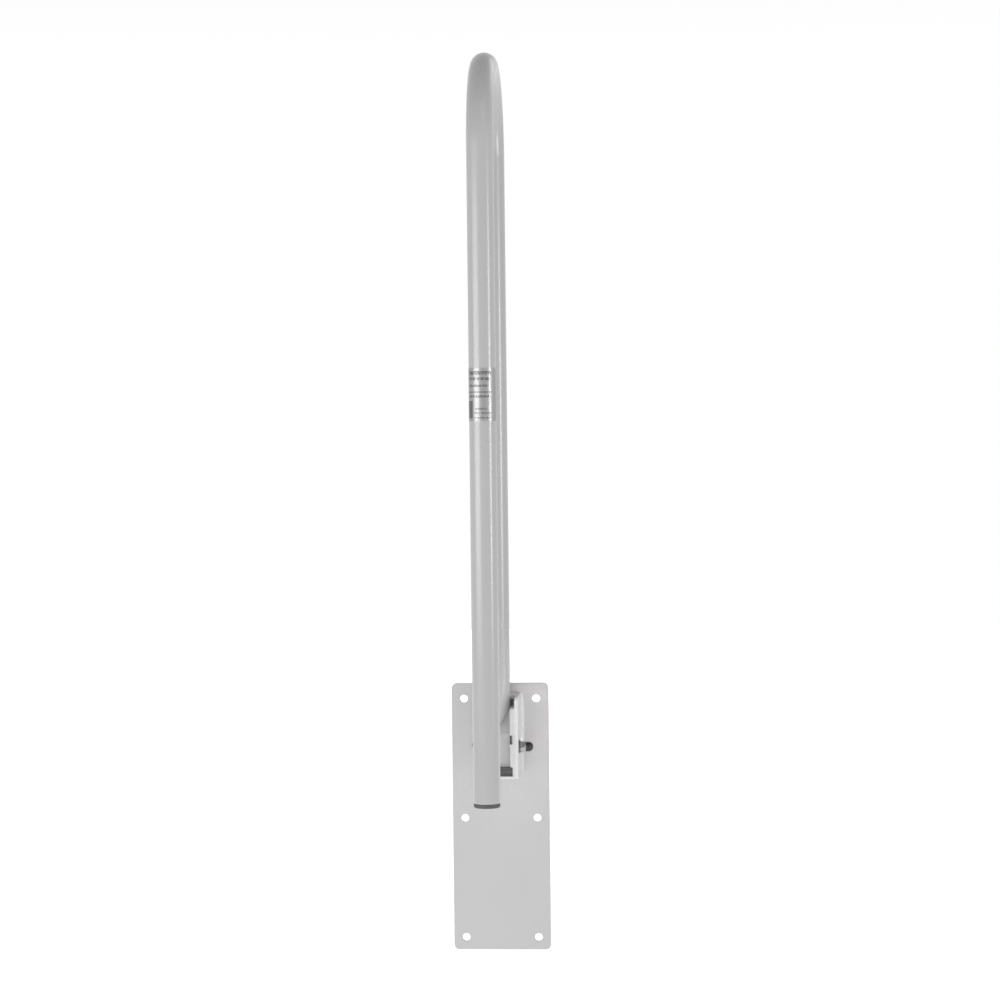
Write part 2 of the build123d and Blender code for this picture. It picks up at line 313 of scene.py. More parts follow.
def soft_slab(name, outlines, thickness, edge_r, to_world):
    """A flat plate with holes and rounded edges: 2-D outlines thickened along their normal."""
    curve = bpy.data.curves.new(name, "CURVE")
    curve.dimensions = "2D"
    curve.fill_mode = "BOTH"
    for outline in outlines:
        spline = curve.splines.new("POLY")
        spline.points.add(len(outline) - 1)
        for point, (x, y) in zip(spline.points, outline):
            point.co = (x, y, 0, 1)
        spline.use_cyclic_u = True
    curve.extrude = thickness / 2 - edge_r
    curve.bevel_depth = edge_r
    curve.bevel_resolution = 4
    curve.offset = -edge_r
    holder = add_object(name, curve)
    bpy.context.view_layer.update()
    mesh = bpy.data.meshes.new_from_object(holder)
    bpy.data.objects.remove(holder)
    mesh.name = name
    mesh.transform(to_world)
    obj = add_object(name, mesh)
    clean(obj)
    keep_flats_flat(obj)
    return obj


def prism(name, outline, x0, x1):
    """A body of constant Y-Z section between two X positions."""
    rings = [[Vector((x, y, z)) for y, z in outline] for x in (x0, x1)]
    return skin(name, rings)


def box_between(name, lo, hi):
    """A plain box, for cutting or for rounding."""
    return prism(name, rectangle(lo[1], lo[2], hi[1], hi[2]), lo[0], hi[0])


# ---------------------------------------------------------------- materials


class Shader:
    """A fresh node material with a principled shader and an object-space position."""

    def __init__(self, name, **values):
        self.material = bpy.data.materials.new(name)
        self.material.use_nodes = True
        self.tree = self.material.node_tree
        self.tree.nodes.clear()
        output = self.add("ShaderNodeOutputMaterial")
        self.surface = self.add("ShaderNodeBsdfPrincipled", **values)
        self.link(self.surface, "BSDF", output, "Surface")
        self.place = self.add("ShaderNodeTexCoord")

    def add(self, kind, **values):
        """A node with some of its inputs or settings given."""
        node = self.tree.nodes.new(kind)
        for key, value in values.items():
            label = key.replace("_", " ")
            if label in node.inputs:
                node.inputs[label].default_value = value
            else:
                setattr(node, key, value)
        return node

    def link(self, a, a_socket, b, b_socket):
        """Join an output to an input."""
        self.tree.links.new(a.outputs[a_socket], b.inputs[b_socket])

    def noise(self, scale, detail, stretch=(1, 1, 1)):
        """Noise in object space, stretched along the axes whose factor is small."""
        mapping = self.add("ShaderNodeMapping")
        mapping.inputs["Scale"].default_value = stretch
        texture = self.add("ShaderNodeTexNoise", Scale=scale, Detail=detail, Roughness=0.6)
        self.link(self.place, "Object", mapping, "Vector")
        self.link(mapping, "Vector", texture, "Vector")
        return texture

    def ramp(self, source, dark, light, start=0.3, end=0.7):
        """Colour between two values, driven by a texture."""
        ramp = self.add("ShaderNodeValToRGB")
        ramp.color_ramp.elements[0].position = start
        ramp.color_ramp.elements[1].position = end
        ramp.color_ramp.elements[0].color = (*dark, 1)
        ramp.color_ramp.elements[1].color = (*light, 1)
        self.link(source, "Fac", ramp, "Fac")
        self.link(ramp, "Color", self.surface, "Base Color")
        return ramp

    def gloss(self, source, smooth, rough):
        """Roughness between two values, driven by a texture."""
        spread = self.add("ShaderNodeMapRange", From_Min=0.3, From_Max=0.7, To_Min=smooth, To_Max=rough)
        self.link(source, "Fac", spread, "Value")
        self.link(spread, "Result", self.surface, "Roughness")

    def combine(self, operation, a, b):
        """A maths node on two inputs, each a number or a (node, output name) pair."""
        node = self.add("ShaderNodeMath", operation=operation)
        for socket, value in zip(node.inputs, (a, b)):
            if isinstance(value, tuple):
                self.tree.links.new(value[0].outputs[value[1]], socket)
            else:
                socket.default_value = value
        return node, "Value"

    def above(self, a, b):
        """One where a is greater than b."""
        return self.combine("GREATER_THAN", a, b)

    def both(self, a, b):
        """One where both masks are."""
        return self.combine("MULTIPLY", a, b)

    def either(self, a, b):
        """One where either mask is."""
        return self.combine("MAXIMUM", a, b)

    def paint_over(self, ramp, colour, mask):
        """Put a flat colour over a ramp where the mask is one."""
        mix = self.add("ShaderNodeMix", data_type="RGBA")
        named = {socket.identifier: socket for socket in mix.inputs}
        self.tree.links.new(mask[0].outputs[mask[1]], named["Factor_Float"])
        self.tree.links.new(ramp.outputs["Color"], named["A_Color"])
        named["B_Color"].default_value = (*colour, 1)
        result = next(socket for socket in mix.outputs if socket.identifier == "Result_Color")
        self.tree.links.new(result, self.surface.inputs["Base Color"])

    def relief(self, source, strength, depth):
        """Bump from a texture."""
        bump = self.add("ShaderNodeBump", Strength=strength, Distance=depth)
        self.link(source, "Fac", bump, "Height")
        self.link(bump, "Normal", self.surface, "Normal")


def grey(value):
    """A neutral colour."""
    return (value, value, value)


def powder_coat(name, base):
    """Satin powder coat: fine orange peel, faint cloudiness and slightly uneven gloss."""
    shader = Shader(name, IOR=1.5)
    clouds = shader.noise(scale=11.0, detail=3.0)
    polish = shader.noise(scale=38.0, detail=3.0, stretch=(1, 1, 0.5))
    orange_peel = shader.noise(scale=650.0, detail=1.0)
    shader.ramp(clouds, dark=grey(base * 0.985), light=grey(base * 1.015))
    shader.gloss(polish, smooth=0.235, rough=0.268)
    shader.relief(orange_peel, strength=0.06, depth=0.1 * MM)
    return shader.material


def metal(name, dark, light, smooth, rough, scratches):
    """Bare metal with turning marks and uneven gloss."""
    shader = Shader(name, Metallic=1.0)
    marks = shader.noise(scale=420.0, detail=4.0, stretch=(5.0, 0.6, 0.6))
    shader.ramp(marks, dark, light)
    shader.gloss(marks, smooth, rough)
    shader.relief(marks, strength=scratches, depth=0.05 * MM)
    return shader.material


def moulded(name, base, smooth, rough, dust):
    """Moulded rubber or plastic: spark-eroded grain, with patches whose colour is dust times the base."""
    shader = Shader(name)
    patches = shader.noise(scale=110.0, detail=4.0)
    grain = shader.noise(scale=1700.0, detail=2.0)
    shader.ramp(patches, dark=grey(base), light=grey(base * dust), start=0.4, end=0.8)
    shader.gloss(patches, smooth, rough)
    shader.relief(grain, strength=0.3, depth=0.1 * MM)
    return shader.material


COAT = powder_coat("coat_wall", base=0.47)
# The bracket pieces get a lighter copy of the wall coat (0.59 against 0.47): painted light, standing in
# for light falling on the flanges from the right. The welded bracket and plate are one coat.
BRACKET_COAT_PAINTED_LIGHT = powder_coat("coat_bracket_painted_light", base=0.59)
ARM_COAT = powder_coat("coat_arm", base=0.385)
LINER = moulded("liner_plastic", base=0.50, smooth=0.4, rough=0.5, dust=1.06)
RUBBER = moulded("dark_rubber", base=0.055, smooth=0.45, rough=0.7, dust=1.5)
BRIGHT = metal("bright_steel", grey(0.288), grey(0.36), smooth=0.16, rough=0.26, scratches=0.15)
# A near-black copy of the bright steel for the nut's dome: a painted dark reflection of the studio in the
# chrome. The nut is one piece of steel.
DOME_PAINTED_REFLECTION = metal("bright_steel_dome_painted_reflection", grey(0.044), grey(0.055), smooth=0.06, rough=0.12, scratches=0.05)
# The washers are real steel, but their tone is darkened well below the bright steel as painted shade,
# standing in for the shadow gap and dark reflection at the rim beside the nut.
WASHER_STEEL_PAINTED_SHADE = metal("washer_steel", grey(0.128), grey(0.16), smooth=0.3, rough=0.45, scratches=0.4)
BRONZE = metal("bush_bronze", (0.42, 0.28, 0.14), (0.55, 0.38, 0.2), smooth=0.32, rough=0.5, scratches=0.3)

SLOT_MATERIALS = {
    "powder_coat": COAT,
    "arm_powder_coat": ARM_COAT,
    "liner_plastic": LINER,
    "dark_rubber": RUBBER,
    "bright_steel": BRIGHT,
    "washer_steel": WASHER_STEEL_PAINTED_SHADE,
    "bush_bronze": BRONZE,
}
NODE_SLOTS = {part["node"]: part["material_slot"] for part in record["subparts"]}
NODE_BODIES = {node: body for body, nodes in record["behaviour"]["bodies"].items() for node in nodes}


def stands_for(obj, node, material=None):
    """Give a piece the body, slot and finish of the CAD node it replaces."""
    slot = NODE_SLOTS[node]
    if not obj.data.materials:
        obj.data.materials.append(material or SLOT_MATERIALS[slot])
    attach(obj, NODE_BODIES[node])
    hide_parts(node)


# ---------------------------------------------------------------- the arm's tube


def tongue_height(x):
    """Height of the tongue's edge at a distance x from the middle."""
    share = min(x / TONGUE_HALF_W, 1.0)
    return TONGUE_TIP_Z + TONGUE_RISE * math.sin(math.pi / 2 * share**TONGUE_POWER)


def hairpin_stations():
    """Centre and direction of the tube from the near run, round the bend, to the rear run."""
    run_steps = 12
    bend_steps = 72
    stations = []
    for k in range(1, run_steps + 1):
        z = NEAR_END_Z + (BEND_Z - NEAR_END_Z) * k / run_steps
        stations.append((Vector((0, NEAR_Y, z)), UP))
    middle = Vector((0, (NEAR_Y + REAR_Y) / 2, BEND_Z))
    for k in range(1, bend_steps + 1):
        a = math.pi - math.pi * k / bend_steps
        along = Vector((0, math.sin(a), -math.cos(a)))
        stations.append((middle + Vector((0, math.cos(a), math.sin(a))) * BEND_R, along))
    for k in range(1, run_steps):
        z = BEND_Z + (REAR_END_Z - BEND_Z) * k / run_steps
        stations.append((Vector((0, REAR_Y, z)), -UP))
    return stations


def tube_ring(centre, along, radius, segments):
    """Points round the tube."""
    outward = along.cross(TO_RIGHT)
    ring = []
    for k in range(segments):
        a = 2 * math.pi * k / segments
        ring.append(centre + radius * (math.sin(a) * TO_RIGHT + math.cos(a) * outward))
    return ring


def rear_ring(radius, share, segments):
    """A ring of the rear run's end: level at a share of zero, cut to the tongue's shape at one."""
    level = REAR_END_Z + 20 * MM
    ring = tube_ring(Vector((0, REAR_Y, 0)), -UP, radius, segments)
    for point in ring:
        end = REAR_END_Z
        if point.y < REAR_Y:
            end = min(end, tongue_height(abs(point.x) * TUBE_R / radius))
        point.z = level + (end - level) * share
    return ring


def rail_tube():
    """One smooth hairpin with its real wall: open near end, tongue and closed bore at the rear."""
    segments = 128
    lip = 0.4 * MM
    near_bore_depth = 25 * MM
    near_end = (
        (near_bore_depth, TUBE_BORE_R),
        (lip, TUBE_BORE_R),
        (0, TUBE_BORE_R + lip),
        (0, TUBE_R - lip),
        (lip, TUBE_R),
        (2 * MM, TUBE_R),
    )
    first = Vector((0, NEAR_Y, NEAR_END_Z))
    rings = [tube_ring(first + UP * height, UP, radius, segments) for height, radius in near_end]
    for centre, along in hairpin_stations():
        rings.append(tube_ring(centre, along, TUBE_R, segments))
    for share in (0.0, 0.25, 0.5, 0.75, 0.9, 0.985):
        rings.append(rear_ring(TUBE_R, share, segments))
    rings.append(rear_ring(TUBE_R - lip, 1.0, segments))
    for share in (1.0, 0.6, 0.0):
        rings.append(rear_ring(TUBE_BORE_R, share, segments))
    obj = skin("rail_tube", rings)
    sharpen(obj, SOFT_ANGLE)
    stands_for(obj, "arm_tube")


# ---------------------------------------------------------------- the wall plate and bracket


def wall_plate():
    """Plate with soft edges and six open screw holes, from the mounts in the record."""
    lo, hi = low("wall_plate"), high("wall_plate")
    outlines = [rounded(rectangle(lo.x, lo.z, hi.x, hi.z), (PLATE_CORNER_R,) * 4, steps=14)]
    corners = MOUNTS["screw_corners"]
    half_x = corners["dims"]["spacing_x_mm"] * MM / 2
    half_z = corners["dims"]["spacing_y_mm"] * MM / 2
    radius = corners["dims"]["hole_r_mm"] * MM
    for row in (-1, 0, 1):
        for side in (-1, 1):
            x = corners["pos_m"][0] + side * half_x
            z = corners["pos_m"][2] + row * half_z
            outlines.append(circle(x, z, radius))
    place = Matrix.Translation((0, (lo.y + hi.y) / 2, 0)) @ ON_WALL
    stands_for(soft_slab("plate", outlines, hi.y - lo.y, PLATE_EDGE_R, place), "wall_plate")


def flange(side):
    """Side flange with a rounded front and the pivot's bore."""
    node = "bracket_flange_" + side
    lo, hi = low(node), high(node)
    radii = (FLANGE_CORNER_R, 0, 0, FLANGE_CORNER_R)
    outlines = [rounded(rectangle(lo.y, lo.z, hi.y, hi.z), radii), circle(PIVOT.y, PIVOT.z, BORE_R)]
    place = Matrix.Translation(((lo.x + hi.x) / 2, 0, 0)) @ BESIDE_PIVOT
    obj = soft_slab("flange_" + side, outlines, hi.x - lo.x, COAT_EDGE_R, place)
    # the flange takes the lighter copy of the coat, which is painted light
    stands_for(obj, node, BRACKET_COAT_PAINTED_LIGHT)


def bracket_plate(name, node):
    """A flat plate between the flanges, with the coat's soft edges."""
    obj = box_between(name, low(node), high(node))
    soften(obj, COAT_EDGE_R)
    stands_for(obj, node, BRACKET_COAT_PAINTED_LIGHT)


def bead_radius(leg, distance):
    """Radius of a weld bead with the scallops of overlapping puddles."""
    valley = 0.9
    share = (distance / PUDDLE_PITCH) % 1.0
    return leg * (valley + (1 - valley) * math.sqrt(1 - (2 * share - 1) ** 2))


def bead_ring(centre, radius, first_side, second_side, start, end, steps):
    """Points round a bead's section, from one side towards the other."""
    ring = []
    for k in range(steps):
        a = start + (end - start) * k / steps
        ring.append(centre + radius * (math.cos(a) * first_side + math.sin(a) * second_side))
    return ring


def corner_bead(name, start, along, length, leg, first_side, second_side):
    """A rippled quarter-round bead in the corner between two faces."""
    steps = 320
    section_steps = 10
    end_size = 0.55
    end_growth = 4.0
    rings = []
    for k in range(steps + 1):
        share = k / steps
        distance = length * share
        centre = start + along * distance
        taper = min(1.0, end_size + end_growth * min(share, 1 - share))
        radius = bead_radius(leg, distance) * taper
        quarter = bead_ring(centre, radius, first_side, second_side, 0, math.pi / 2, section_steps)
        rings.append([centre, *quarter, centre + radius * second_side])
    obj = skin(name, rings)
    sharpen(obj, SOFT_ANGLE)
    return obj


def flange_weld(side, sign):
    """Bead down the outside of a flange's foot."""
    node = "flange_weld_" + side
    lo, hi = low(node), high(node)
    x = lo.x if sign > 0 else hi.x
    start = Vector((x, hi.y, lo.z))
    outward = TO_RIGHT * sign
    obj = corner_bead("flange_bead_" + side, start, UP, hi.z - lo.z, hi.x - lo.x, outward, TO_ROOM)
    stands_for(obj, node, BRACKET_COAT_PAINTED_LIGHT)


def floor_weld():
    """Bead under the bracket's floor."""
    lo, hi = low("floor_weld"), high("floor_weld")
    start = Vector((lo.x, hi.y, hi.z))
    obj = corner_bead("floor_bead", start, TO_RIGHT, hi.x - lo.x, hi.z - lo.z, TO_ROOM, -UP)
    stands_for(obj, "floor_weld", BRACKET_COAT_PAINTED_LIGHT)


def slide_liner(side, sign):
    """Moulded liner, notched for the stop pad and slotted at its inner front edge."""
    node = "slide_liner_" + side
    lo, hi = low(node), high(node)
    pad = high("raised_stop_pad")
    pad_gap = 0.3 * MM
    top_r = 3 * MM
    edge_r = 0.5 * MM
    slot_w = 3.2 * MM
    slot_depth = 14 * MM
    slot_low = PIVOT.z + 5.2 * MM
    slot_high = PIVOT.z + 16.2 * MM
    inner = min(abs(lo.x), abs(hi.x))
    beyond = 5 * MM
    outline = rounded(rectangle(lo.y, lo.z, hi.y, hi.z), (0, 0, top_r, top_r))
    obj = prism("liner_" + side, outline, lo.x, hi.x)

    def cutter(name, x_end, y_end, z0, z1):
        """A box that reaches x_end from inside the liner's inner face, and y_end from its front."""
        xs = sorted((sign * (inner - beyond), sign * x_end))
        return box_between(name, (xs[0], lo.y - beyond, z0), (xs[1], y_end, z1))

    notch = cutter("notch", pad.x + pad_gap, hi.y + beyond, lo.z - beyond, pad.z + pad_gap)
    slot = cutter("slot", inner + slot_w, lo.y + slot_depth, slot_low, slot_high)
    cut(obj, notch, slot)
    soften(obj, edge_r)
    stands_for(obj, node)


def stop_pad():
    """Rubber block with a raised band across its front."""
    lo, hi = low("raised_stop_pad"), high("raised_stop_pad")
    step = 0.9 * MM
    edge_r = 0.6 * MM
    corner_r = 0.5 * MM
    band_share = 0.36
    middle = (lo.z + hi.z) / 2
    band_low = middle - band_share / 2 * (hi.z - lo.z)
    band_high = middle + band_share / 2 * (hi.z - lo.z)
    outline = (
        (hi.y, lo.z),
        (hi.y, hi.z),
        (lo.y + step, hi.z),
        (lo.y + step, band_high + step),
        (lo.y, band_high),
        (lo.y, band_low),
        (lo.y + step, band_low - step),
        (lo.y + step, lo.z),
    )
    radii = (0, 0, 2 * corner_r) + (corner_r,) * 5
    obj = prism("stop_pad", rounded(outline, radii, steps=4), lo.x, hi.x)
    soften(obj, edge_r)
    stands_for(obj, "raised_stop_pad")


# ---------------------------------------------------------------- the knuckle


def knuckle_web():
    """Bent plate: upright face, sloping top behind the tongue and a rounded tail."""
    lo, hi = low("knuckle_web"), high("knuckle_web")
    outline = (
        (WEB_FRONT_Y, lo.z),
        (WEB_FRONT_Y, WEB_KNEE_Z),
        (WEB_TOP_Y, hi.z),
        (WEB_TOP_Y + KNUCKLE_T, hi.z),
        (WEB_FRONT_Y + KNUCKLE_T, WEB_INNER_KNEE_Z),
        (WEB_FRONT_Y + KNUCKLE_T, lo.z),
    )
    front_tail_r = 3 * MM
    rear_tail_r = 0.5 * MM
    knee_r = 12 * MM
    radii = (front_tail_r, knee_r, 0, 0, knee_r - KNUCKLE_T, rear_tail_r)
    obj = prism("web", rounded(outline, radii), lo.x, hi.x)
    soften(obj, COAT_EDGE_R)
    stands_for(obj, "knuckle_web")


def knuckle_side(side):
    """Side plate of the knuckle, with the sleeve's bore."""
    node = "knuckle_side_" + side
    lo, hi = low(node), high(node)
    rise = (hi.z - WEB_INNER_KNEE_Z) / (REAR_END_Z - WEB_INNER_KNEE_Z)
    corners = (
        (lo.y, lo.z),
        (lo.y, WEB_INNER_KNEE_Z),
        (lo.y + (WEB_TOP_Y - WEB_FRONT_Y) * rise, hi.z),
        (hi.y, hi.z),
        (hi.y, lo.z),
    )
    heel_r = 13 * MM
    edge_r = 0.4 * MM
    outlines = [rounded(corners, (0, 0, 0, 0, heel_r)), circle(PIVOT.y, PIVOT.z, SLEEVE_R)]
    place = Matrix.Translation(((lo.x + hi.x) / 2, 0, 0)) @ BESIDE_PIVOT
    stands_for(soft_slab("side_" + side, outlines, hi.x - lo.x, edge_r, place), node)


def tongue_bead():
    """Rippled bead along both edges of the tongue, on the web's sloping face."""
    slope = (WEB_TOP_Y - WEB_FRONT_Y) / (REAR_END_Z - WEB_KNEE_Z)
    steps = 120
    section_steps = 16
    end_size = 0.5
    taper_steps = 4
    reach = high("tongue_weld").x - TONGUE_WELD_R
    path = []
    for k in range(-steps, steps + 1):
        x = reach * k / steps
        z = tongue_height(abs(x))
        path.append(Vector((x, WEB_FRONT_Y + (z - WEB_KNEE_Z) * slope, z)))
    facing = Vector((0, -1, slope)).normalized()
    rings = []
    distance = 0.0
    for k, point in enumerate(path):
        before = path[max(k - 1, 0)]
        after = path[min(k + 1, len(path) - 1)]
        along = (after - before).normalized()
        distance += (point - before).length
        from_end = min(k, len(path) - 1 - k)
        taper = min(1.0, end_size + (1 - end_size) * from_end / taper_steps)
        radius = bead_radius(TONGUE_WELD_R, distance) * taper
        side = along.cross(facing).normalized()
        rings.append(bead_ring(point, radius, side.cross(along), side, 0, 2 * math.pi, section_steps))
    obj = skin("tongue_bead", rings)
    sharpen(obj, SOFT_ANGLE)
    stands_for(obj, "tongue_weld")


# ---------------------------------------------------------------- pivot hardware


def washer(name, node):
    """Plain washer with a rounded rim."""
    lo, hi = low(node), high(node)
    outer = (hi.z - lo.z) / 2
    thickness = hi.x - lo.x
    rim_r = 0.25 * MM
    profile = [(BORE_R, 0)]
    profile += arc((outer - rim_r, rim_r), rim_r, -90, 0, steps=3)
    profile += arc((outer - rim_r, thickness - rim_r), rim_r, 0, 90, steps=3)
    profile += [(BORE_R, thickness), (BORE_R, 0)]
    obj = lathe(name, profile, Vector((lo.x, PIVOT.y, PIVOT.z)), TO_RIGHT)
    sharpen(obj, SOFT_ANGLE)
    stands_for(obj, node)


def pivot_bolt():
    """Button-head bolt with a hexagon socket and a chamfered tip."""
    lo, hi = low("pivot_bolt"), high("pivot_bolt")
    length = hi.x - lo.x
    head_r = (hi.z - lo.z) / 2
    head_h = 4.4 * MM
    rim_h = 1.5 * MM
    rim_r = 0.2 * MM
    crown_r = 4.2 * MM
    crown_steps = 12
    tip = 0.8 * MM
    socket_flats = 5.0 * MM
    socket_depth = 2.6 * MM
    profile = [(0, 0)]
    for k in range(crown_steps + 1):
        a = math.pi / 2 * k / crown_steps
        radius = crown_r + (head_r - crown_r) * math.sin(a)
        profile.append((radius, (head_h - rim_h) * (1 - math.cos(a))))
    profile += [(head_r, head_h - rim_r), (head_r - rim_r, head_h), (PIVOT_R, head_h)]
    profile += [(PIVOT_R, length - tip), (PIVOT_R - tip, length), (0, length)]
    obj = lathe("pivot_bolt_piece", profile, Vector((lo.x, PIVOT.y, PIVOT.z)), TO_RIGHT)
    socket_r = socket_flats / 2 / math.cos(math.pi / 6)
    hexagon = circle(PIVOT.y, PIVOT.z, socket_r, segments=6)
    cut(obj, prism("socket", hexagon, lo.x - socket_depth, lo.x + socket_depth))
    sharpen(obj, CRISP_ANGLE)
    stands_for(obj, "pivot_bolt")


def nut_ring(distance, radius, half_flats=None):
    """Points round the nut at a distance from its base: a circle, or one cut to a hexagon."""
    segments = 96
    centre = Vector((low("cap_nut").x + distance, PIVOT.y, PIVOT.z))
    points = []
    for k in range(segments):
        a = 2 * math.pi * k / segments
        from_flat = (a + math.pi / 6) % (math.pi / 3) - math.pi / 6
        limit = half_flats / math.cos(from_flat) if half_flats else radius
        points.append(around(centre, TO_RIGHT, min(radius, limit), a))
    return points


def cap_nut():
    """Hexagon with chamfered corners, a necked dome and a blind bore."""
    lo, hi = low("cap_nut"), high("cap_nut")
    half_flats = (hi.z - lo.z) / 2
    corner_r = half_flats / math.cos(math.pi / 6)
    hex_h = 7.0 * MM
    chamfer_h = 0.9 * MM
    chamfer_r = 0.8 * MM
    chamfer_steps = 6
    neck_h = 0.5 * MM
    neck_r = 0.3 * MM
    dome_r = 6.1 * MM
    dome_steps = 17
    dome_base = hi.x - lo.x - dome_r
    bore_depth = 12 * MM
    rings = [nut_ring(bore_depth, PIVOT_R), nut_ring(0, PIVOT_R)]
    for k in range(chamfer_steps + 1):
        share = k / chamfer_steps
        rings.append(nut_ring(chamfer_h * share, corner_r - chamfer_r * (1 - share), half_flats))
    for k in range(chamfer_steps + 1):
        share = k / chamfer_steps
        rings.append(nut_ring(hex_h - chamfer_h * (1 - share), corner_r - chamfer_r * share, half_flats))
    rings.append(nut_ring(hex_h, dome_r + neck_r))
    rings.append(nut_ring(hex_h + neck_h, dome_r))
    for k in range(dome_steps):
        a = math.pi / 2 * k / dome_steps
        rings.append(nut_ring(dome_base + dome_r * math.sin(a), dome_r * math.cos(a)))
    obj = skin("acorn_nut", rings)
    sharpen(obj, CRISP_ANGLE)
    # The dome's faces take the near-black copy of the steel, a painted dark reflection on the one-piece
    # chrome nut.
    obj.data.materials.append(BRIGHT)
    obj.data.materials.append(DOME_PAINTED_REFLECTION)
    for polygon in obj.data.polygons:
        distance = polygon.center.x - lo.x
        in_bore = (polygon.center - PIVOT).yz.length <= PIVOT_R and distance <= bore_depth + 0.1 * MM
        on_dome = distance > hex_h + neck_h / 2 and not in_bore
        polygon.material_index = int(on_dome)
    stands_for(obj, "cap_nut")


# ---------------------------------------------------------------- bumper and label


def end_bumper():
    """Finned plug in the near run's end, with a soft-edged flange below it."""
    lo, hi = low("end_bumper"), high("end_bumper")
    top = hi.z - lo.z
    flange_r = (hi.x - lo.x) / 2
    flange_t = NEAR_END_Z - lo.z
    edge_r = 1.8 * MM
    chamfer = 0.3 * MM
    core_r = 11.5 * MM
    core_chamfer = 1 * MM
    fins = 3
    first_fin = 5 * MM
    fin_pitch = 6 * MM
    fin_r = 14.4 * MM
    fin_t = 1.6 * MM
    fin_slope = 0.4 * MM
    profile = [(0, 0)]
    profile += arc((flange_r - edge_r, edge_r), edge_r, -90, 0, steps=8)
    profile += [(flange_r, flange_t - chamfer), (flange_r - chamfer, flange_t), (core_r, flange_t)]
    for fin in range(fins):
        z = flange_t + first_fin + fin * fin_pitch
        profile += [(core_r, z), (fin_r, z), (fin_r - fin_slope, z + fin_t), (core_r, z + fin_t)]
    profile += [(core_r, top - core_chamfer), (core_r - core_chamfer, top), (0, top)]
    obj = lathe("end_plug", profile, Vector((0, NEAR_Y, lo.z)), UP)
    sharpen(obj, SOFT_ANGLE)
    stands_for(obj, "end_bumper")


# foil label: degrees it wraps, and degrees its middle is turned to the right
LABEL_ANGLE = 205.0
LABEL_TURN = 8.0
# generic print, in shares of the foil as seen from the front: the block's left, right, bottom and top,
# where rows start above the block and beside it, where they end in turn, and each row's bottom and height
LABEL_BLOCK = (0.02, 0.17, 0.05, 0.38)
ROW_START = 0.05
ROW_START_BY_BLOCK = 0.24
ROW_ENDS = (0.84, 0.78, 0.72)
LABEL_ROWS = (
    (0.87, 0.07),
    (0.765, 0.055),
    (0.64, 0.045),
    (0.53, 0.025),
    (0.44, 0.045),
    (0.21, 0.035),
    (0.135, 0.025),
    (0.045, 0.025),
)


def label_foil():
    """Brushed silver foil with a generic block and broken rows of print."""
    shader = Shader("label_foil", Metallic=0.5)
    brush = shader.noise(scale=300.0, detail=3.0, stretch=(0.3, 0.3, 6.0))
    shader.gloss(brush, smooth=0.28, rough=0.4)
    shader.relief(brush, strength=0.08, depth=0.05 * MM)
    split = shader.add("ShaderNodeSeparateXYZ")
    shader.link(shader.place, "UV", split, "Vector")
    across = (split, "X")
    upward = (split, "Y")

    def bar(left, right, bottom, top):
        """One inside the rectangle, zero outside."""
        inside_width = shader.both(shader.above(across, left), shader.above(right, across))
        inside_height = shader.both(shader.above(upward, bottom), shader.above(top, upward))
        return shader.both(inside_width, inside_height)

    block_top = LABEL_BLOCK[3]
    rows = 0.0
    for k, (bottom, height) in enumerate(LABEL_ROWS):
        start = ROW_START if bottom > block_top else ROW_START_BY_BLOCK
        end = ROW_ENDS[k % len(ROW_ENDS)]
        rows = shader.either(rows, bar(start, end, bottom, bottom + height))
    words_per_label = (46.0, 11.0, 1.0)
    gap_level = 0.44
    stretch = shader.add("ShaderNodeMapping")
    stretch.inputs["Scale"].default_value = words_per_label
    words = shader.add("ShaderNodeTexNoise", Scale=1.0, Detail=1.0)
    shader.link(shader.place, "UV", stretch, "Vector")
    shader.link(stretch, "Vector", words, "Vector")
    print_rows = shader.both(rows, shader.above((words, "Fac"), gap_level))
    ink = shader.either(print_rows, bar(*LABEL_BLOCK))
    foil = shader.ramp(brush, dark=grey(0.27), light=grey(0.31), start=0.0, end=1.0)
    shader.paint_over(foil, grey(0.11), ink)
    return shader.material


def foil_sheet(radius, columns, rows):
    """Points of the foil at one radius, with rounded corners, and where each lies in the print."""
    lo, hi = low("rating_label"), high("rating_label")
    height = hi.z - lo.z
    outer = (hi.x - lo.x) / 2
    corner = 3 * MM
    middle = math.radians(LABEL_TURN)
    points = []
    prints = []
    for r in range(rows + 1):
        share = 0.5 - 0.5 * math.cos(math.pi * r / rows)
        into_corner = max(0.0, corner - min(share, 1 - share) * height)
        inset = corner - math.sqrt(corner**2 - into_corner**2)
        reach = math.radians(LABEL_ANGLE / 2) - inset / outer
        for c in range(columns + 1):
            a = middle + reach * (2 * c / columns - 1)
            points.append((radius * math.sin(a), NEAR_Y - radius * math.cos(a), lo.z + share * height))
            prints.append((0.5 + 0.5 * math.sin(a), share))
    return points, prints


def foil_faces(columns, rows):
    """Faces of two sheets of points and of the border that joins them."""
    row_size = columns + 1
    sheet = row_size * (rows + 1)
    faces = []
    for layer in (0, sheet):
        for r in range(rows):
            for c in range(columns):
                k = layer + r * row_size + c
                faces.append((k, k + 1, k + row_size + 1, k + row_size))
    border = list(range(columns))
    border += [r * row_size + columns for r in range(rows)]
    border += [rows * row_size + c for c in range(columns, 0, -1)]
    border += [r * row_size for r in range(rows, 0, -1)]
    for a, b in zip(border, border[1:] + border[:1]):
        faces.append((a, b, b + sheet, a + sheet))
    return faces


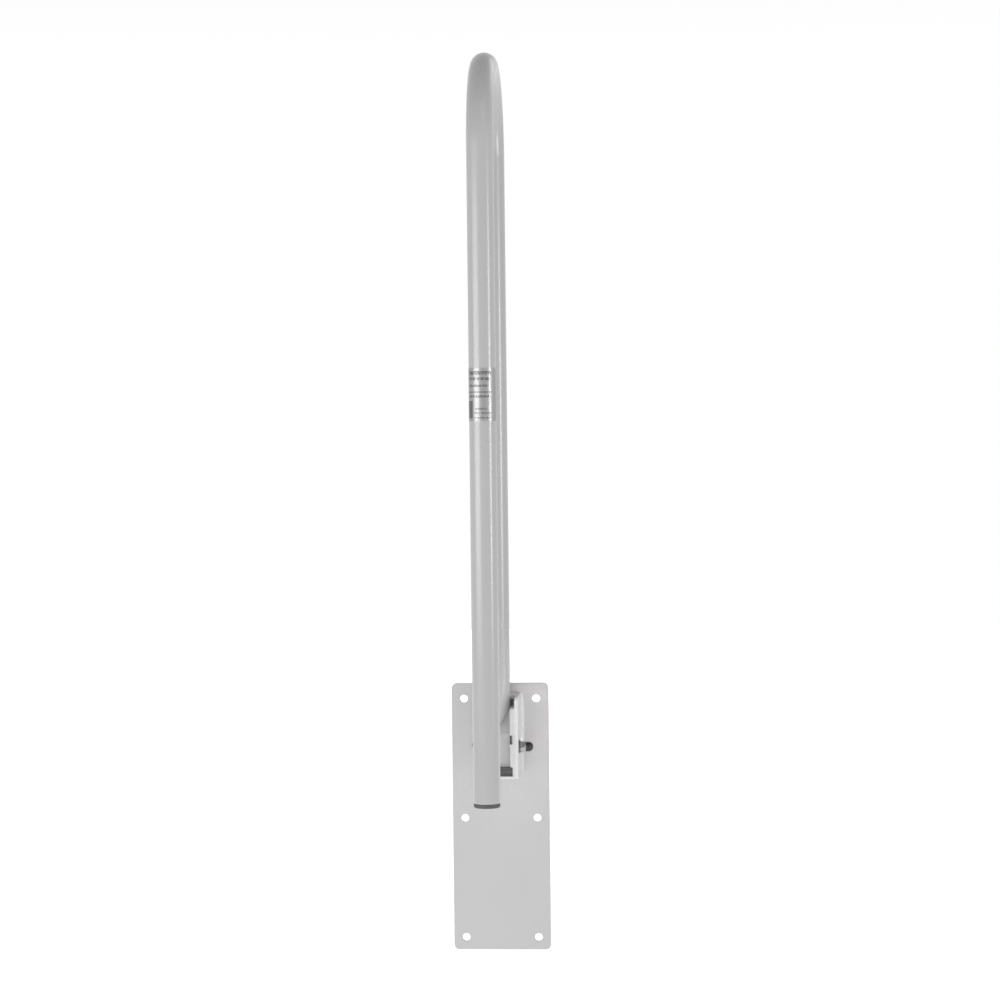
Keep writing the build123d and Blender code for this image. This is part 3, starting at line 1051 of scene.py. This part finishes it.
def rating_label():
    """Foil wrapped round the near run, with its print laid out in its own UVs."""
    columns = 72
    rows = 48
    outer = (high("rating_label").x - low("rating_label").x) / 2
    inner = TUBE_R - 0.1 * MM
    front_points, front_prints = foil_sheet(outer, columns, rows)
    back_points, back_prints = foil_sheet(inner, columns, rows)
    prints = front_prints + back_prints
    mesh = bpy.data.meshes.new("foil_label")
    mesh.from_pydata(front_points + back_points, [], foil_faces(columns, rows))
    layout = mesh.uv_layers.new(name="print")
    for loop in mesh.loops:
        layout.data[loop.index].uv = prints[loop.vertex_index]
    obj = add_object("foil_label", mesh)
    clean(obj)
    sharpen(obj, SOFT_ANGLE)
    stands_for(obj, "rating_label", label_foil())


# ---------------------------------------------------------------- make every piece


rail_tube()
wall_plate()
for side_name, side_sign in (("left", -1), ("right", 1)):
    flange(side_name)
    flange_weld(side_name, side_sign)
    slide_liner(side_name, side_sign)
    knuckle_side(side_name)
bracket_plate("tie_plate", "bracket_tie_plate")
bracket_plate("floor_plate", "bracket_floor")
floor_weld()
stop_pad()
knuckle_web()
tongue_bead()
washer("washer_left", "head_washer")
washer("washer_right", "nut_washer")
pivot_bolt()
cap_nut()
end_bumper()
rating_label()


def paint_cad_nodes():
    """Give the CAD's own meshes, the hidden ones included, the material of their slot."""
    for node, obj in frame["nodes"].items():
        material = SLOT_MATERIALS.get(NODE_SLOTS[node], COAT)
        if not obj.data.materials:
            obj.data.materials.append(material)
        for slot in obj.material_slots:
            slot.material = material


paint_cad_nodes()


# ---------------------------------------------------------------- stage, lights and camera


def pale_floor():
    """Plain pale floor well below the rail, bright enough to meet the white surround."""
    drop = 0.25
    reach = 9.0
    z = cad_box[0].z - drop
    corners = [(-reach, -reach, z), (reach, -reach, z), (reach, reach, z), (-reach, reach, z)]
    obj = mesh_object("floor", corners, [(0, 1, 2, 3)])
    shader = Shader("floor_paint", Roughness=0.9, Emission_Color=(1, 1, 1, 1), Emission_Strength=0.7)
    shader.ramp(shader.noise(scale=2.0, detail=2.0), dark=grey(0.92), light=grey(0.94))
    obj.data.materials.append(shader.material)


def soft_box(name, azimuth, z, size, power, aim=None, spread=180.0):
    """A soft box facing the rail, at an azimuth in degrees round it from the room side."""
    distance = 1.7
    aim = aim or (0, -0.1, min(z, cad_box[1].z))
    lamp = bpy.data.lights.new(name, "AREA")
    lamp.shape = "RECTANGLE"
    lamp.size, lamp.size_y = size
    lamp.energy = power
    lamp.spread = math.radians(spread)
    obj = add_object(name, lamp)
    a = math.radians(azimuth)
    obj.location = (math.sin(a) * distance, -math.cos(a) * distance, z)
    forward = Vector(aim) - obj.location
    obj.rotation_mode = "QUATERNION"
    obj.rotation_quaternion = forward.to_track_quat("-Z", "Y")
    return obj


def reflection(name, **placing):
    """A soft box that shows only as a highlight."""
    soft_box(name, **placing).visible_diffuse = False


def fill(name, **placing):
    """A soft box that lightens matt surfaces, without a highlight or a shadow."""
    obj = soft_box(name, **placing)
    obj.visible_glossy = False
    obj.data.use_shadow = False


def surround():
    """White surround that darkens towards straight overhead, as (share of straight up, brightness)."""
    stops = ((0.15, 1.0), (0.9, 0.4))
    world = bpy.data.worlds.new("surround")
    bpy.context.scene.world = world
    world.use_nodes = True
    tree = world.node_tree
    background = tree.nodes["Background"]
    place = tree.nodes.new("ShaderNodeTexCoord")
    split = tree.nodes.new("ShaderNodeSeparateXYZ")
    ramp = tree.nodes.new("ShaderNodeValToRGB")
    for element, (position, brightness) in zip(ramp.color_ramp.elements, stops):
        element.position = position
        element.color = (*grey(brightness), 1)
    tree.links.new(place.outputs["Generated"], split.inputs["Vector"])
    tree.links.new(split.outputs["Z"], ramp.inputs["Fac"])
    tree.links.new(ramp.outputs["Color"], background.inputs["Color"])


def camera():
    """Camera at the photograph's viewing angle."""
    data = bpy.data.cameras.new("camera")
    data.sensor_width = CAMERA_SENSOR
    data.lens = CAMERA_LENS
    data.clip_start, data.clip_end = CAMERA_CLIP
    obj = add_object("camera", data)
    yaw, pitch, roll = (math.radians(v) for v in (CAMERA_YAW, CAMERA_PITCH, CAMERA_ROLL))
    forward = Vector((-math.sin(yaw) * math.cos(pitch), math.cos(yaw) * math.cos(pitch), math.sin(pitch)))
    right = Vector((math.cos(yaw), math.sin(yaw), 0))
    up = right.cross(forward)
    rolled_right = right * math.cos(roll) + up * math.sin(roll)
    rolled_up = up * math.cos(roll) - right * math.sin(roll)
    turn = Matrix((rolled_right, rolled_up, -forward)).transposed().to_4x4()
    obj.matrix_world = Matrix.Translation(CAMERA_PLACE) @ turn
    bpy.context.scene.camera = obj


pale_floor()
reflection("left_box", azimuth=-40, z=0.55, size=(1.2, 0.74), power=14)
reflection("right_box", azimuth=62, z=0.535, size=(0.22, 0.7), power=8.2)
soft_box("high_box", azimuth=35, z=2.1, size=(1.2, 0.9), power=2.8)
reflection("rear_box", azimuth=140, z=1.9, size=(1.2, 0.8), power=3.4)
fill("front_fill", azimuth=-20, z=0.3, size=(1.0, 1.0), power=4)
fill("hinge_fill", azimuth=50, z=0.12, size=(0.1, 0.08), power=0.038, aim=(0.022, 0, 0.12), spread=10.0)
surround()
camera()
bpy.context.scene.view_settings.view_transform = "Standard"
